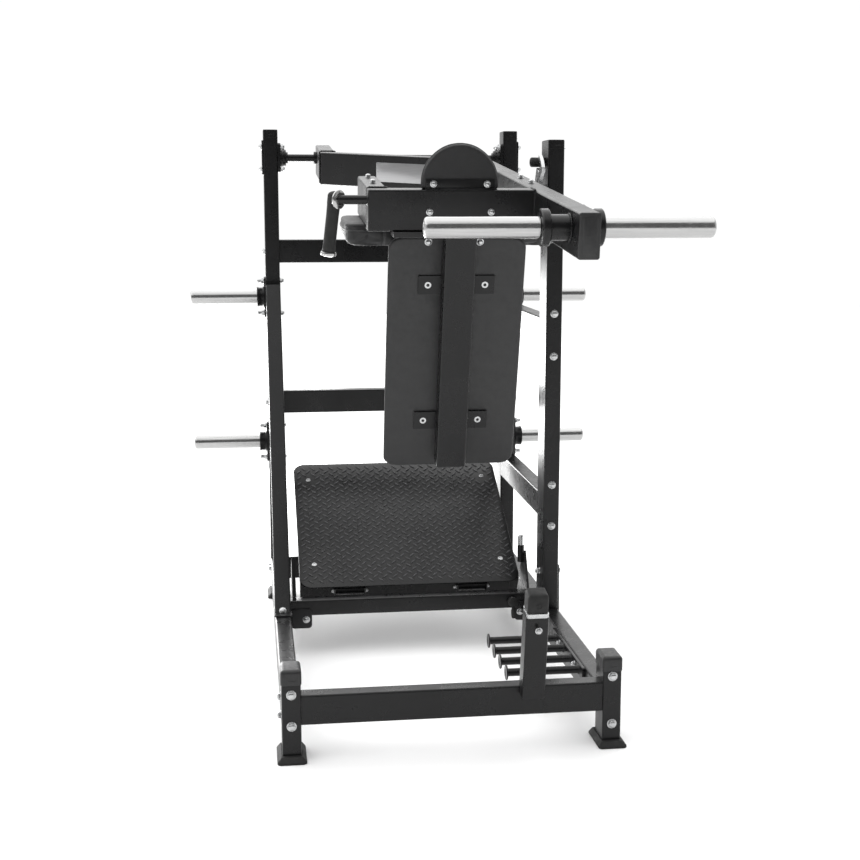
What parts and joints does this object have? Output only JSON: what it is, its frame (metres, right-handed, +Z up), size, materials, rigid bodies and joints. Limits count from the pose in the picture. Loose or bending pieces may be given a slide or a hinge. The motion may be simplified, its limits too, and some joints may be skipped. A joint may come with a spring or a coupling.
{
  "type": "hack squat machine",
  "caption": "Plate-loaded pendulum squat machine: a pivoting arm with back, shoulder and head pads and loading sleeves over a tilting foot platform in a tube frame",
  "frame": {"origin": "on the floor, under the middle of the bounding box", "axes": "+X to the side of the long arm beam, +Y from the loading end to the pivot uprights, +Z up"},
  "size_m": [1.416, 2.0172, 1.666],
  "materials": {
    "frame_paint": "satin black powder coat",
    "arm_paint": "satin black powder coat",
    "platform_paint": "black powder coat on tread plate, worn on the high points",
    "chrome": "bright hard chrome with fine turning marks",
    "zinc_steel": "bright zinc plate",
    "black_rubber": "matt moulded rubber",
    "black_vinyl": "grained black upholstery vinyl",
    "cap_plastic": "fine-textured black plastic"
  },
  "bodies": {
    "frame": {"front_post_left": "frame_paint", "front_post_right": "frame_paint", "front_beam": "frame_paint", "rear_beam": "frame_paint", "base_rail_left": "frame_paint", "base_rail_right": "frame_paint", "rear_upright_left": "frame_paint", "rear_upright_right": "frame_paint", "catch_upright": "frame_paint", "side_tie_lower": "frame_paint", "side_tie_upper": "frame_paint", "back_tie_lower": "frame_paint", "back_tie_upper": "frame_paint", "brace_left": "frame_paint", "stop_post": "frame_paint", "band_pegs": "frame_paint", "peg_mount_lower_left": "frame_paint", "peg_mount_lower_right": "frame_paint", "peg_mount_upper_left": "frame_paint", "peg_mount_upper_right": "frame_paint", "pivot_bearing_left": "frame_paint", "pivot_bearing_right": "frame_paint", "platform_beam": "frame_paint", "storage_peg_lower_left": "chrome", "storage_peg_lower_right": "chrome", "storage_peg_upper_left": "chrome", "storage_peg_upper_right": "chrome", "foot_front_left": "black_rubber", "foot_front_right": "black_rubber", "foot_rear_left": "black_rubber", "foot_rear_right": "black_rubber", "stop_bumper": "black_rubber", "catch_peg": "black_rubber", "front_post_cap_left": "cap_plastic", "front_post_cap_right": "cap_plastic"},
    "arm": {"arm_beam": "arm_paint", "pivot_stub": "arm_paint", "diagonal_beam": "arm_paint", "yoke": "arm_paint", "side_arm_left": "arm_paint", "pivot_shaft": "arm_paint", "sleeve_root_left": "arm_paint", "sleeve_root_right": "arm_paint", "loading_sleeve_left": "chrome", "loading_sleeve_right": "chrome", "handle_left": "arm_paint", "handle_right": "arm_paint", "grip_left": "black_rubber", "grip_right": "black_rubber", "back_pad": "black_vinyl", "back_tube": "arm_paint", "shoulder_pad_left": "black_vinyl", "shoulder_pad_right": "black_vinyl", "head_pad": "black_vinyl"},
    "platform": {"platform_plate": "platform_paint", "platform_frame": "platform_paint"},
    "hook": {"catch_hook": "zinc_steel"},
    "tilt_pin": {"tilt_pin": "zinc_steel"},
    "beam_pin": {"beam_pin": "zinc_steel"}
  },
  "joints": [
    {"name": "arm_pivot", "type": "hinge", "parent": "frame", "child": "arm", "pos_m": [0, 0.92359, 1.574], "axis": [1, 0, 0], "range_deg": [0, 26.95]},
    {"name": "catch_hook_swing", "type": "hinge", "parent": "arm", "child": "hook", "pos_m": [0.372, 0.18859, 1.465], "axis": [-1, 0, 0], "range_deg": [0, 30]},
    {"name": "platform_tilt", "type": "hinge", "parent": "frame", "child": "platform", "pos_m": [0, 0.33459, 0.178], "axis": [1, 0, 0], "range_deg": [-16, 4]},
    {"name": "tilt_pin_pull", "type": "slide", "parent": "frame", "child": "tilt_pin", "axis": [0, 0, 1], "range_m": [0, 0.012], "stiffness_N_per_m": 300, "springref_m": -0.005},
    {"name": "beam_pin_pull", "type": "slide", "parent": "frame", "child": "beam_pin", "axis": [0, -1, 0], "range_m": [0, 0.01], "stiffness_N_per_m": 300, "springref_m": -0.005}
  ]
}
